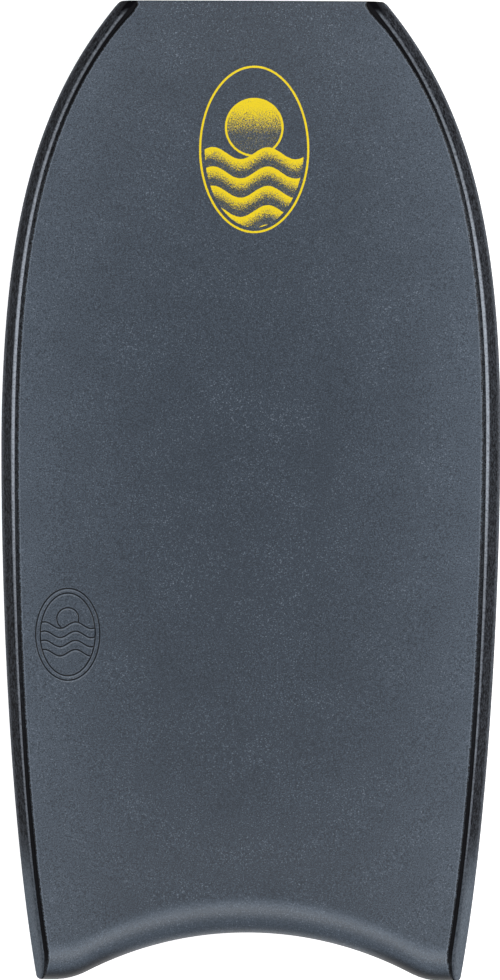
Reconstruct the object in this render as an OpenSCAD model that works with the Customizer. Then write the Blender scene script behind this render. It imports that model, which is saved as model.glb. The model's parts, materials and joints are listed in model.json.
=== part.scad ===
// Bodyboard, 42 inch, with a crescent tail, chine rails, a slick bottom and one stringer.
// Frame: X across, Y along with the nose at +Y, Z up with the deck on top.
// The origin is on the centreline at mid length, level with the flat of the bottom.

/* [Outline] */
// Overall length from the nose to the tail tips
board_len = 1067; // [1020:1:1120]
// Overall width at the widest point
board_w = 546; // [520:1:570]
// Width across the nose
nose_w = 290; // [275:1:310]
// Width across the tail tips
tail_w = 463; // [445:1:480]
// Distance of the widest point from the nose
wide_at = 480; // [450:1:510]
// Heading of the outline at the nose, in degrees from the centreline
nose_heading = 40; // [36:1:44]
// Pull of the nose heading on the outline
nose_pull = 140; // [120:1:160]
// Pull of the widest point on the outline ahead of it
wide_pull_front = 240; // [200:1:280]
// Pull of the widest point on the outline behind it
wide_pull_rear = 62; // [40:1:100]
// Heading of the outline at the tail, in degrees from the centreline
tail_heading = 10; // [7:1:13]
// Pull of the tail heading on the outline
tail_pull = 225; // [180:1:260]
// Radius of the four corners in plan, and length of the nose bumper
corner_r = 5; // [4:0.5:5.5]

/* [Crescent tail] */
// Depth of the crescent on the centreline
crescent_depth = 52; // [40:1:60]
// Straight width of each tail tip beside the crescent
tip_w = 19; // [17:1:24]
// Radius that rounds the crescent into the tips
tip_r = 78; // [60:1:90]
// Length of board ahead of the roll in which the sections bend into the crescent
bend_len = 150; // [130:5:180]

/* [Section] */
// Thickness at the nose
nose_t = 42; // [38:1:46]
// Greatest thickness
mid_t = 55; // [50:1:60]
// Thickness at the tail, ahead of the roll
tail_t = 50; // [46:1:54]
// Distance of the greatest thickness from the nose
thick_at = 520; // [460:5:600]
// Lift of the nose above the flat of the bottom
nose_lift = 44; // [30:1:55]
// Length of the curved front part of the bottom
rocker_len = 403; // [360:1:440]
// Rise of the deck from its edges to its centreline
crown = 3; // [0:0.5:5]

/* [Rails] */
// Height of the widest edge as a share of the thickness
edge_share = 0.42; // [0.38:0.01:0.45]
// Plan width of the chine for each millimetre of its height
chine_lean = 0.38; // [0.34:0.01:0.42]
// How much more the chine leans at the nose, and the length over which it loses that
nose_lean = 0.06; // [0:0.01:0.08]
nose_lean_len = 300; // [200:10:400]
// Plan width of the lower rail
tuck = 6; // [5:0.5:8]
// Thickness of the rail strips, measured level
strip_t = 6; // [5.5:0.5:7]
// Plan width of the bead along the top of the chine, in front and at the tail
bead_front_w = 4.4; // [4:0.1:5]
bead_tail_w = 3; // [2.5:0.1:4]
// Distances from the nose between which the bead gets narrower
bead_taper_from = 450; // [300:10:600]
bead_taper_to = 900; // [700:10:1000]
// Width of the bead and of the groove between it and the deck together
rail_top_w = 6.9; // [6.5:0.1:7.5]
// Depth of the groove, down to the pin line
groove_depth = 2.2; // [1.5:0.1:2.5]
// Thickness of the pin line
pin_t = 1; // [0.6:0.1:1.5]

/* [Skins] */
// Thickness of the deck skin
skin_t = 5.5; // [5:0.5:6]
// Rounding of the deck skin's edge at the groove
lip_r = 1.2; // [0.8:0.1:1.5]
// Thickness of the slick skin on the bottom
slick_t = 1.2; // [0.8:0.1:1.5]
// Thickness of the mesh sheet between the slick and the core
mesh_t = 0.4; // [0.3:0.1:0.6]

/* [Rolled tail edge] */
// Length of the roll, ahead of the tail face
roll_len = 38; // [34:1:42]
// Height of the tail face under the roll
face_h = 28; // [27:1:32]
// Height of the deck skin's last edge above the tail face
skin_edge_h = 2; // [1:0.5:3]

/* [Channels] */
// Depth of the two tail channels
channel_depth = 7; // [4:0.5:9]
// Place of each channel's middle as a share of the deck's half width
channel_mid = 0.56; // [0.5:0.01:0.6]
// Width of each channel as a share of the deck's half width
channel_share = 0.28; // [0.22:0.01:0.3]
// Distance from the tail at which the channels begin
channel_len = 400; // [300:10:450]
// Length over which the channels reach their full depth
channel_fade = 180; // [120:10:220]

/* [Stringer] */
// Outer diameter of the stringer tube
tube_d = 14; // [12:1:16]
// Wall of the stringer tube
tube_wall = 1.5; // [1:0.5:2]
// Height of the stringer above the bottom
stringer_z = 27; // [25:1:29]
// Distance of the bore's blind end from the nose
bore_nose_gap = 72; // [60:2:90]
// Free play between the tube and its bore, on the radius
bore_play = 0.15; // [0.1:0.05:0.3]
// Length of each end plug's head
plug_head = 8; // [6:1:10]
// Length of each end plug's spigot inside the tube
plug_spigot = 14; // [10:1:18]
// Free play of the spigot in the tube, on the radius
spigot_play = 0.05; // [0.05:0.01:0.1]

/* [Hidden] */

deck_grey = [0.29, 0.33, 0.37];
rail_black = [0.11, 0.12, 0.13];
slick_black = [0.06, 0.06, 0.07];
core_white = [0.93, 0.93, 0.90];
mesh_green = [0.55, 0.65, 0.55];
carbon = [0.20, 0.20, 0.22];
plug_white = [0.85, 0.85, 0.85];

// The outline is two cubic curves that meet at the widest point, as [distance from the nose, half width].
front_curve = [
    [0, nose_w / 2],
    [nose_pull * cos(nose_heading), nose_w / 2 + nose_pull * sin(nose_heading)],
    [wide_at - wide_pull_front, board_w / 2],
    [wide_at, board_w / 2]
];
rear_curve = [
    [wide_at, board_w / 2],
    [wide_at + wide_pull_rear, board_w / 2],
    [board_len - tail_pull * cos(tail_heading), tail_w / 2 + tail_pull * sin(tail_heading)],
    [board_len, tail_w / 2]
];

rocker_r = (rocker_len * rocker_len + nose_lift * nose_lift) / (2 * nose_lift);
// Half width at which the crescent leaves the tips, and the angle and radius of its arc
crescent_x = tail_w / 2 - tip_w;
crescent_angle = 2 * atan(crescent_depth / crescent_x);
crescent_r = crescent_x / sin(crescent_angle) - tip_r;

// Places across the half deck at which every sheet has a point, as shares of the deck's half width
channel_from = channel_mid - channel_share / 2;
channel_steps = 4;
across = concat(
    [0, channel_from / 2],
    [for (i = [0:channel_steps]) channel_from + channel_share * i / channel_steps],
    [0.8, 0.91, 1]
);
across_inner = [for (i = [0:len(across) - 2]) across[i]];

// Distances of the sections from the nose
front_steps = 9;
mid_steps = 6;
bend_steps = 5;
roll_steps = 6;
bend_from = board_len - roll_len - bend_len;
stations = concat(
    [0, 0.3 * corner_r],
    [for (i = [0:front_steps]) corner_r + (rocker_len - corner_r) * pow(i / front_steps, 1.3)],
    [for (i = [1:mid_steps]) rocker_len + (bend_from - rocker_len) * i / mid_steps],
    [for (i = [1:bend_steps]) bend_from + bend_len * i / bend_steps],
    [for (i = [1:roll_steps]) board_len - roll_len * (1 - sin(90 * i / roll_steps))]
);
last = len(stations) - 1;
// The bumpers fill the first and the last two gaps between sections, and the core the rest
bumper_gaps = 2;
nose_stations = [for (i = [0:bumper_gaps]) stations[i]];
core_stations = [for (i = [bumper_gaps:last - bumper_gaps]) stations[i]];
tail_stations = [for (i = [last - bumper_gaps:last]) stations[i]];

function bezier(p, u) =
    p[0] * pow(1 - u, 3) + p[1] * 3 * u * pow(1 - u, 2) + p[2] * 3 * u * u * (1 - u) + p[3] * pow(u, 3);
function bezier_tangent(p, u) =
    (p[1] - p[0]) * pow(1 - u, 2) + (p[2] - p[1]) * 2 * u * (1 - u) + (p[3] - p[2]) * u * u;
// The curve's parameter at distance t from the nose, by halving
function bezier_u(p, t, lo = 0, hi = 1, n = 26) =
    let (mid = (lo + hi) / 2)
    n == 0 ? mid : bezier(p, mid)[0] < t ? bezier_u(p, t, mid, hi, n - 1) : bezier_u(p, t, lo, mid, n - 1);
function curve_for(t) = t < wide_at ? front_curve : rear_curve;
function half_width(t) = bezier(curve_for(t), bezier_u(curve_for(t), t))[1];
// Level distance across the board for each millimetre measured square to the outline
function spread(t) =
    let (tangent = bezier_tangent(curve_for(t), bezier_u(curve_for(t), t)))
    norm(tangent) / tangent[0];
// How much a corner's radius takes off the half width
function corner_cut(t) =
    let (s = min(t, board_len - t))
    s < corner_r ? corner_r - sqrt(corner_r * corner_r - pow(corner_r - s, 2)) : 0;
function smooth(s) = let (c = max(0, min(1, s))) c * c * (3 - 2 * c);

// Heights along the board
function rocker(t) =
    t < rocker_len ? rocker_r - sqrt(rocker_r * rocker_r - pow(rocker_len - t, 2)) : 0;
function thickness(t) =
    t < thick_at ? nose_t + (mid_t - nose_t) * sin(90 * t / thick_at)
    : tail_t + (mid_t - tail_t) * cos(90 * (t - thick_at) / (board_len - thick_at));
function edge_z(t) = rocker(t) + edge_share * thickness(t);
// Share of the roll's height that a sheet at this depth still has; 1 ahead of the roll, 0 at the tail face
function roll_share(t, depth) =
    let (left = board_len - t)
    left >= roll_len ? 1 : left <= depth ? 0 : sqrt(1 - pow((roll_len - left) / (roll_len - depth), 2));
function deck_z(t, depth) =
    let (behind = max(0, 1 - (board_len - t) / roll_len))
    rocker(t) + face_h + (thickness(t) - face_h - depth) * roll_share(t, depth)
        + skin_edge_h * behind * (1 - depth / skin_t);
function channel_rise(t, g) =
    let (s = (g - channel_from) / channel_share)
    s <= 0 || s >= 1 ? 0
    : channel_depth * (1 - cos(360 * s)) / 2 * smooth((t - board_len + channel_len) / channel_fade);

// Plan shape of the crescent, as the distance ahead of the tail tips
function crescent(x) =
    let (arc_x = crescent_r * sin(crescent_angle))
    x >= crescent_x ? 0
    : x > arc_x ? tip_r - sqrt(tip_r * tip_r - pow(crescent_x - x, 2))
    : crescent_depth - crescent_r + sqrt(crescent_r * crescent_r - x * x);

// Plan widths measured square to the outline, from the outline inwards
function lean(t) = chine_lean + nose_lean * pow(max(0, 1 - t / nose_lean_len), 2);
function chine_w(t) = lean(t) * (deck_z(t, 0) - edge_z(t));
function bead_w(t) =
    let (taper = smooth((t - bead_taper_from) / (bead_taper_to - bead_taper_from)))
    bead_front_w + (bead_tail_w - bead_front_w) * taper;
function deck_inset(t) = chine_w(t) + rail_top_w;
function inset_x(t, d) = let (w = half_width(t)) min(w - d * spread(t), w - corner_cut(t));
function deck_x(t) = inset_x(t, deck_inset(t));

// Points of the half section at distance t from the nose
function place(t, x, z) =
    [x, board_len / 2 - t + crescent(x) * smooth((t - bend_from) / bend_len), z];
function deck_pt(t, g, depth) = place(t, g * deck_x(t), deck_z(t, depth) + crown * (1 - g * g));
// The underside's sheets end short of the lower rail, also where the roll brings the deck's edge over it
function base_x(t, g) = g < 1 ? g * deck_x(t) : min(deck_x(t), inset_x(t, 1.1 * (tuck + strip_t)));
function base_pt(t, g, h) = place(t, base_x(t, g), rocker(t) + h + channel_rise(t, g));
function rail_pt(t, d, depth) = place(t, inset_x(t, d), deck_z(t, depth));
function side_pt(t, d, z) = place(t, inset_x(t, d), z);
function chine_pt(t, depth) =
    side_pt(t, lean(t) * (deck_z(t, depth) - edge_z(t)), deck_z(t, depth));
function edge_pt(t) = side_pt(t, 0, edge_z(t));
function tuck_pt(t, h) = side_pt(t, tuck * (1 - h / (edge_z(t) - rocker(t))), rocker(t) + h);
// Corners of the core, which the rail strips lie on
function core_side_pt(t) = side_pt(t, strip_t, edge_z(t));
function core_top_pt(t) =
    side_pt(t, strip_t + lean(t) * (deck_z(t, skin_t) - edge_z(t)), deck_z(t, skin_t));
function core_base_pt(t, h) = side_pt(t, tuck + strip_t, rocker(t) + h);
// Walls of the groove, on the bead's side
function bead_wall_pt(t, depth) = rail_pt(t, chine_w(t) + bead_w(t), depth);

function sheet_top(t, depth, places) = [for (g = places) deck_pt(t, g, depth)];
function sheet_base(t, h) = [for (g = across) base_pt(t, g, h)];
function reversed(list) = [for (i = [len(list) - 1:-1:0]) list[i]];

// Half sections, from the centreline outwards along the top and back along the underside
function core_section(t) = concat(
    sheet_top(t, skin_t, across),
    [core_top_pt(t), core_side_pt(t), core_base_pt(t, slick_t + mesh_t)],
    reversed(sheet_base(t, slick_t + mesh_t))
);
function bumper_section(t) = concat(
    sheet_top(t, skin_t, across),
    [core_top_pt(t), core_side_pt(t), core_base_pt(t, slick_t + mesh_t), core_base_pt(t, slick_t)],
    reversed(sheet_base(t, slick_t))
);
function mesh_section(t) = concat(
    sheet_base(t, slick_t + mesh_t),
    [core_base_pt(t, slick_t + mesh_t), core_base_pt(t, slick_t)],
    reversed(sheet_base(t, slick_t))
);
function slick_section(t) = concat(
    sheet_base(t, slick_t),
    [tuck_pt(t, slick_t), tuck_pt(t, 0)],
    reversed(sheet_base(t, 0))
);
function skin_section(t) = concat(
    sheet_top(t, 0, across_inner),
    [place(t, deck_x(t) - lip_r, deck_z(t, 0))],
    [for (depth = [lip_r, groove_depth, groove_depth + pin_t, skin_t]) deck_pt(t, 1, depth)],
    reversed(sheet_top(t, skin_t, across_inner))
);
// Sections of the rail pieces
function upper_rail_section(t) = concat(
    [core_side_pt(t), core_top_pt(t), deck_pt(t, 1, skin_t), deck_pt(t, 1, groove_depth + pin_t)],
    [bead_wall_pt(t, groove_depth + pin_t), bead_wall_pt(t, groove_depth)],
    [rail_pt(t, chine_w(t) + 0.8 * bead_w(t), 0.25 * groove_depth)],
    [rail_pt(t, chine_w(t) + 0.3 * bead_w(t), 0), chine_pt(t, groove_depth), edge_pt(t)]
);
function lower_rail_section(t) = [
    core_base_pt(t, slick_t + mesh_t), core_side_pt(t), edge_pt(t),
    tuck_pt(t, slick_t), core_base_pt(t, slick_t)
];
function pin_line_section(t) = [
    deck_pt(t, 1, groove_depth + pin_t), deck_pt(t, 1, groove_depth),
    bead_wall_pt(t, groove_depth), bead_wall_pt(t, groove_depth + pin_t)
];

// Neighbouring pieces split each four-sided patch along the same diagonal: the one from the
// outer of its two points on the section nearer the nose.
function reach(p) = p[0] + p[2] / 100;
function patch(points, a, b, c, d) =
    reach(points[a]) > reach(points[b]) ? [[a, b, c], [a, c, d]] : [[a, b, d], [b, c, d]];

// Closed end of a loft. The first and the last `pairs` points face each other across the section.
function loft_end(base, n, pairs) =
    pairs == 0 ? [[for (j = [0:n - 1]) base + j]]
    : concat(
        [for (j = [0:pairs - 2]) each [
            [base + j, base + j + 1, base + n - 1 - j],
            [base + j + 1, base + n - 2 - j, base + n - 1 - j]
        ]],
        [for (j = [pairs:n - pairs - 1]) [base + pairs - 1, base + j, base + j + 1]]
    );

// Solid through a row of sections that all have the same number of points
module loft(sections, pairs = 0) {
    n = len(sections[0]);
    rows = len(sections);
    points = [for (section = sections) each section];
    sides = [
        for (i = [0:rows - 2], j = [0:n - 1])
        let (k = (j + 1) % n)
        each patch(points, i * n + j, i * n + k, (i + 1) * n + k, (i + 1) * n + j)
    ];
    nose_end = [for (face = loft_end(0, n, pairs)) reversed(face)];
    tail_end = loft_end((rows - 1) * n, n, pairs);
    polyhedron(points = points, faces = concat(nose_end, tail_end, sides), convexity = 10);
}

module both_halves() {
    union() {
        children();
        mirror([1, 0, 0]) children();
    }
}

// Round bars along the stringer's line, which is straight over the flat of the bottom and then
// bends with the rocker. The bend's angle is counted from where the flat ends.
flat_y = board_len / 2 - rocker_len;
bend_r = rocker_r - stringer_z;
function bend_at(nose_gap) = asin((rocker_len - nose_gap) / bend_r);

module straight_bar(r, from_y, to_y) {
    translate([0, from_y, stringer_z])
        rotate([-90, 0, 0])
            cylinder(h = to_y - from_y, r = r, $fn = 64);
}

module bent_bar(r, from_angle, to_angle) {
    translate([0, flat_y, rocker_r])
        rotate([0, 90, 0])
            rotate([0, 0, from_angle])
                rotate_extrude(angle = to_angle - from_angle, $fn = 360)
                    translate([bend_r, 0])
                        circle(r = r, $fn = 64);
}

tube_r = tube_d / 2;
spigot_r = tube_r - tube_wall - spigot_play;
bore_end = bend_at(bore_nose_gap);
tube_end = bend_at(bore_nose_gap + plug_head);
spigot_end = bend_at(bore_nose_gap + plug_head + plug_spigot);
// The core's tail face on the centreline, which the bore opens through
core_tail_y = board_len / 2 - core_stations[len(core_stations) - 1] + crescent_depth;
plug_recess = 2;
plug_y = core_tail_y + plug_recess;

module core() {
    color(core_white)
        difference() {
            both_halves() loft([for (t = core_stations) core_section(t)], len(across));
            straight_bar(tube_r + bore_play, core_tail_y - plug_head, flat_y);
            bent_bar(tube_r + bore_play, 0, bore_end);
        }
}

module stringer_tube() {
    color(carbon)
        difference() {
            union() {
                straight_bar(tube_r, plug_y + plug_head, flat_y);
                bent_bar(tube_r, 0, tube_end);
            }
            union() {
                straight_bar(tube_r - tube_wall, plug_y, flat_y);
                bent_bar(tube_r - tube_wall, 0, bore_end);
            }
        }
}

module stringer_nose_plug() {
    color(plug_white)
        union() {
            bent_bar(tube_r, tube_end, bore_end);
            bent_bar(spigot_r, spigot_end, tube_end);
        }
}

module stringer_tail_plug() {
    color(plug_white)
        union() {
            straight_bar(tube_r, plug_y, plug_y + plug_head);
            straight_bar(spigot_r, plug_y + plug_head, plug_y + plug_head + plug_spigot);
        }
}

module slick_mesh() {
    color(mesh_green)
        both_halves() loft([for (t = core_stations) mesh_section(t)], len(across));
}

module slick_skin() {
    color(slick_black)
        both_halves() loft([for (t = stations) slick_section(t)], len(across));
}

module deck_skin() {
    color(deck_grey)
        both_halves() loft([for (t = stations) skin_section(t)], len(across_inner));
}

module nose_bumper() {
    color(rail_black)
        both_halves() loft([for (t = nose_stations) bumper_section(t)], len(across));
}

module tail_bumper() {
    color(rail_black)
        both_halves() loft([for (t = tail_stations) bumper_section(t)], len(across));
}

module upper_rail_right() {
    color(rail_black) loft([for (t = stations) upper_rail_section(t)]);
}

module upper_rail_left() {
    mirror([1, 0, 0]) upper_rail_right();
}

module lower_rail_right() {
    color(rail_black) loft([for (t = stations) lower_rail_section(t)]);
}

module lower_rail_left() {
    mirror([1, 0, 0]) lower_rail_right();
}

module pin_line_right() {
    color(slick_black) loft([for (t = stations) pin_line_section(t)]);
}

module pin_line_left() {
    mirror([1, 0, 0]) pin_line_right();
}

core();
stringer_tube();
stringer_nose_plug();
stringer_tail_plug();
slick_mesh();
slick_skin();
deck_skin();
upper_rail_left();
upper_rail_right();
lower_rail_left();
lower_rail_right();
pin_line_left();
pin_line_right();
nose_bumper();
tail_bumper();
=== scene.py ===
"""Looks of the bodyboard: fine foam, rail and slick meshes around the CAD frame, their materials,
a pale studio and a camera straight above the deck."""

import json
import math

import bmesh
import bpy
import numpy as np
from mathutils import Euler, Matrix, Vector


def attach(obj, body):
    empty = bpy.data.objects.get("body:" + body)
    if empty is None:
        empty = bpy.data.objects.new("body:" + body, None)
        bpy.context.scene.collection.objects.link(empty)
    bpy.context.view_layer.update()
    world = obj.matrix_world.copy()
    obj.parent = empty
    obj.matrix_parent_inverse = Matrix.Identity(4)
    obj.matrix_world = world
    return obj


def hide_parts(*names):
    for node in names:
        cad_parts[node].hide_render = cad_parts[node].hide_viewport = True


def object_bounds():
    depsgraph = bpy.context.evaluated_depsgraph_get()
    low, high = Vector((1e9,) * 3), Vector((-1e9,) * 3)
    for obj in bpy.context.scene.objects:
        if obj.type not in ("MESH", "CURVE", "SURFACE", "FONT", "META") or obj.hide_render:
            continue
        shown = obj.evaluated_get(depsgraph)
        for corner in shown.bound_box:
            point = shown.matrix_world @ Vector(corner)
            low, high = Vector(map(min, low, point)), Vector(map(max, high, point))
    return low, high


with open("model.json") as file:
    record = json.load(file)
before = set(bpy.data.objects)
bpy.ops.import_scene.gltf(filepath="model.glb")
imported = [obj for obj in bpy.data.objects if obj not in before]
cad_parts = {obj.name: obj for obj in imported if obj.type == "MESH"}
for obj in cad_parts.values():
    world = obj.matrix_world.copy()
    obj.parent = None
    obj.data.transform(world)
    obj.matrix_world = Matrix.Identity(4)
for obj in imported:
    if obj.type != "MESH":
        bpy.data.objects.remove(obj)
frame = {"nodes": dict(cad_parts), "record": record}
cad_low, cad_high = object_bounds()

# ---------------------------------------------------------------- sizes, in millimetres
# The outline, section and tail sizes are the CAD part's own, so that the fine meshes lie in its
# box and meet one another where its solids do.
MM = 0.001
BOARD_LEN = (cad_high.y - cad_low.y) / MM
BOARD_W = (cad_high.x - cad_low.x) / MM

# Outline
NOSE_W = 290
TAIL_W = 463
WIDE_AT = 480
NOSE_HEADING = math.radians(40)
NOSE_PULL = 140
WIDE_PULL_FRONT = 240
WIDE_PULL_REAR = 62
TAIL_HEADING = math.radians(10)
TAIL_PULL = 225
CORNER_R = 5

# Crescent tail
CRESCENT_DEPTH = 52
TIP_W = 19
TIP_R = 78
BEND_LEN = 150

# Section along the board
NOSE_T = 42
MID_T = 55
TAIL_T = 50
THICK_AT = 520
NOSE_LIFT = 44
ROCKER_LEN = 403
CROWN = 3

# Rails
EDGE_SHARE = 0.42
CHINE_LEAN = 0.38
NOSE_LEAN = 0.06
NOSE_LEAN_LEN = 300
TUCK = 6
STRIP_T = 6
BEAD_FRONT_W = 4.4
BEAD_TAIL_W = 3
BEAD_TAPER_FROM = 450
BEAD_TAPER_TO = 900
RAIL_TOP_W = 6.9
GROOVE_DEPTH = 2.2
PIN_T = 1

# Skins
SKIN_T = 5.5
LIP_R = 1.2
SLICK_T = 1.2
MESH_T = 0.4

# Rolled tail edge
ROLL_LEN = 38
FACE_H = 28
SKIN_EDGE_H = 2

# Channels
CHANNEL_DEPTH = 7
CHANNEL_MID = 0.56
CHANNEL_SHARE = 0.28
CHANNEL_LEN = 400
CHANNEL_FADE = 180

# From here on, sizes that only the fine meshes and their materials have.
# TINY keeps a division from meeting zero; faces that meet more steeply than SHARP_ANGLE show an edge
TINY = 1e-9
SHARP_ANGLE = math.radians(38)
NOSE_ROUND = 1.8
EDGE_ROUND = 3.0
SEAM_IN = 0.15
FLOOR_GAP = 0.02
BEAD_FADE_FROM = 8
BEAD_FADE_LEN = 10
# The underside's sheets end at least this far inside the outline, short of the lower rail
BASE_INSET = 1.1 * (TUCK + STRIP_T)

# The rail's top narrows down the rolled tail edge
TIP_NARROWING = 0.68
TIP_NARROWING_LEN = 0.8 * ROLL_LEN

# The deck skin's corner at the nose: a flare at the very edge, and a cut behind it that is deepest
# at its start
FLARE = 2.5
FLARE_LEN = 7
CUT_START = 9
CUT_LEN = 110
CUT = 1.5
DEEP_CUT = 2.5
DEEP_CUT_LEN = 30

# Bead: how far its outer turn reaches down the chine, and its inner turn down the groove's wall
BEAD_DROP = 1.8
BEAD_DROP_SHARE = 0.4
BEAD_WALL = 1.1
BEAD_WALL_LEFT = 0.3
LEAST_WALL = 0.05

# Slick: the height and inset of each column round its lower corner
SLICK_FOOT_H = 0.1
SLICK_WALL_H = 0.7
SLICK_CORNER = ((0.2, 0.25), (0, 0.9))

# Spacing of the fine meshes' points
NOSE_ROWS = 6
NOSE_STEP = 0.8
ROLL_ROWS = 18
DECK_COLUMNS = 31
DECK_COLUMNS_TO = 0.955
DECK_EDGE_COLUMNS = (0.972, 0.985)
SLICK_COLUMNS = 111
BUMPER_COLUMNS = 81
BUMPER_ROWS = 6
BUMPER_ANGLE = math.radians(60)

# Painted light: towards the tail the rails are painted from charcoal to a lit slate grey
TAIL_LIGHT_FROM = 895
TAIL_LIGHT_FADE = 85
# Strength of the painted reflection along the widest edge
EDGE_HIGHLIGHT = 0.27

# Strength of the bead's painted highlight at the nose, and from where, over what length and by how much it
# then changes
SHINE_AT_NOSE = 0.36
SHINE_CHANGES = ((30, 330, 0.64), (430, 300, -0.52), (750, 150, -0.12))
# The painted highlight along the bead: its middle and half width as shares of the bead's width, and
# how softly it ends
STREAK_MIDDLE = 0.56
STREAK_HALF = 0.13
STREAK_FADE = 0.4
# Stands for the place of every column that isn't on or beside the bead
FAR_FROM_BEAD = 9.0

# Painted light on the pin line: paler behind the nose, less and less towards the tail, and again at the tips
PIN_LIT = 0.9
PIN_LIT_FROM = 60
PIN_LIT_RISE = 200
PIN_LIT_DROP_FROM = 450
PIN_LIT_DROP = 450
PIN_TIP_LIT_FROM = 1035

# Painted light: the deck is painted paler towards its sides, and a little towards its nose and tail
PALE_SIDE_POWER = 2.5
PALE_SIDE_FROM = 60
PALE_SIDE_TO = 900
PALE_NOSE = 0.26
PALE_NOSE_FROM = 60
PALE_NOSE_FADE = 540
PALE_NOSE_EDGE_LOSS = 0.2
PALE_TAIL = 0.08
PALE_TAIL_FROM = 800
PALE_TAIL_RISE = 100
PALE_TAIL_TO = 970
PALE_TAIL_FADE = 50

# The rolled tail edge has a painted highlight at its crest and painted shade where it turns down
SHEEN = 0.5
SHEEN_FROM = 1026
SHEEN_RISE = 9
SHEEN_LOSS = 0.6
SHEEN_LOSS_FROM = 1036
SHEEN_LOSS_LEN = 10
SHADE_FROM = 1052
SHADE_RISE = 12
SHADE_MIDDLE = 0.15
SHADE_TIP = 0.75
SHADE_TIP_FROM = 110
SHADE_TIP_LEN = 60
# How far from the groove the deck's edge is told apart from its middle
EDGE_REACH = 10.0

# Printed badge on the deck: its middle, half sizes, ink and drawing
PRINT_X = 3
PRINT_Y = 372
PRINT_HALF_W = 60
PRINT_HALF_H = 91
INK_STROKE = 2.3
INK_EDGE_SLOPE = 3.3
INK_WOBBLE = 0.7
INK_FILL_CONTRAST = 1.2
PRINT_RING_GAP = 6
PRINT_SWELL_H = 6.5
PRINT_SWELL_LEN = 60
PRINT_SWELL_PITCH = 21
PRINT_SWELL_Y = 4
# Shares of the pitch at which a swell's fill starts to fade, and over which it does
PRINT_FADE_FROM = 0.3
PRINT_FADE = 0.55
PRINT_SUN_R = 32
PRINT_SUN_Y = 24
PRINT_SUN_FADE_FROM = 8
PRINT_SUN_FADE = 30

# Pressed badge on the deck: its middle, half sizes, line and drawing
PRESS_X = -198
PRESS_Y = -157
PRESS_HALF_W = 35
PRESS_HALF_H = 50
PRESS_DEPTH = 0.9
PRESS_LINE = 1.05
PRESS_RING_GAP = 5
PRESS_SWELL_H = 3.5
PRESS_SWELL_LEN = 34
PRESS_SWELL_LEVELS = (10, 0, -10, -20)
PRESS_SUN_R = 12
PRESS_SUN_Y = 17
# The patch of fine cells round the pressed badge: its margins, and the cells in each coarse one
PRESS_MARGIN_LONG = 6
PRESS_MARGIN_WIDE = 2
PRESS_SPLIT = 16
# The foam stands up beside each pressed line: how far, and on which side
PRESS_LIP = 0.3
PRESS_LIP_X = 0.5
PRESS_LIP_Y = -1.3


# ---------------------------------------------------------------- the board's shape
def bezier(points, u):
    """Points of a cubic curve at each parameter in u."""
    a, b, c, d = np.array(points, float)
    u = u[:, None]
    return a * (1 - u) ** 3 + 3 * b * u * (1 - u) ** 2 + 3 * c * u**2 * (1 - u) + d * u**3


FRONT_CURVE = [
    (0, NOSE_W / 2),
    (NOSE_PULL * math.cos(NOSE_HEADING), NOSE_W / 2 + NOSE_PULL * math.sin(NOSE_HEADING)),
    (WIDE_AT - WIDE_PULL_FRONT, BOARD_W / 2),
    (WIDE_AT, BOARD_W / 2),
]
REAR_CURVE = [
    (WIDE_AT, BOARD_W / 2),
    (WIDE_AT + WIDE_PULL_REAR, BOARD_W / 2),
    (
        BOARD_LEN - TAIL_PULL * math.cos(TAIL_HEADING),
        TAIL_W / 2 + TAIL_PULL * math.sin(TAIL_HEADING),
    ),
    (BOARD_LEN, TAIL_W / 2),
]
STEPS = np.linspace(0, 1, 1001)
OUTLINE = np.concatenate([bezier(FRONT_CURVE, STEPS), bezier(REAR_CURVE, STEPS)[1:]])
OUTLINE_SLOPE = np.gradient(OUTLINE[:, 1], OUTLINE[:, 0])

ROCKER_R = (ROCKER_LEN**2 + NOSE_LIFT**2) / (2 * NOSE_LIFT)
CRESCENT_X = TAIL_W / 2 - TIP_W
CRESCENT_ANGLE = 2 * math.atan(CRESCENT_DEPTH / CRESCENT_X)
CRESCENT_R = CRESCENT_X / math.sin(CRESCENT_ANGLE) - TIP_R
CRESCENT_ARC_X = CRESCENT_R * math.sin(CRESCENT_ANGLE)
BEND_FROM = BOARD_LEN - ROLL_LEN - BEND_LEN
CHANNEL_FROM = CHANNEL_MID - CHANNEL_SHARE / 2


def smooth(s):
    c = np.clip(s, 0, 1)
    return c * c * (3 - 2 * c)


def quarter(s, r):
    """How far a quarter circle of radius r has left its tangent, at distance s from its end."""
    return r - np.sqrt(np.maximum(r * r - np.maximum(r - s, 0) ** 2, 0))


def half_width(t):
    return np.interp(t, OUTLINE[:, 0], OUTLINE[:, 1])


def spread(t):
    """Level distance across the board for each millimetre measured square to the outline."""
    return np.sqrt(1 + np.interp(t, OUTLINE[:, 0], OUTLINE_SLOPE) ** 2)


def rocker(t):
    return ROCKER_R - np.sqrt(ROCKER_R**2 - np.maximum(ROCKER_LEN - t, 0) ** 2)


def thickness(t):
    front = NOSE_T + (MID_T - NOSE_T) * np.sin(np.pi / 2 * t / THICK_AT)
    rear = TAIL_T + (MID_T - TAIL_T) * np.cos(np.pi / 2 * (t - THICK_AT) / (BOARD_LEN - THICK_AT))
    return np.where(t < THICK_AT, front, rear)


def edge_z(t):
    return rocker(t) + EDGE_SHARE * thickness(t)


def roll_share(t, depth):
    """Share of the roll's height that a sheet at this depth still has at distance t."""
    left = BOARD_LEN - t
    into = np.clip((ROLL_LEN - left) / (ROLL_LEN - depth), 0, 1)
    return np.sqrt(1 - into**2)


def deck_z(t, depth):
    behind = np.maximum(0, 1 - (BOARD_LEN - t) / ROLL_LEN)
    rise = (thickness(t) - FACE_H - depth) * roll_share(t, depth)
    return rocker(t) + FACE_H + rise + SKIN_EDGE_H * behind * (1 - depth / SKIN_T)


def top_z(t):
    """Height of the deck's edges, with the nose edge rounded."""
    return deck_z(t, 0) - quarter(t, NOSE_ROUND)


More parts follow.
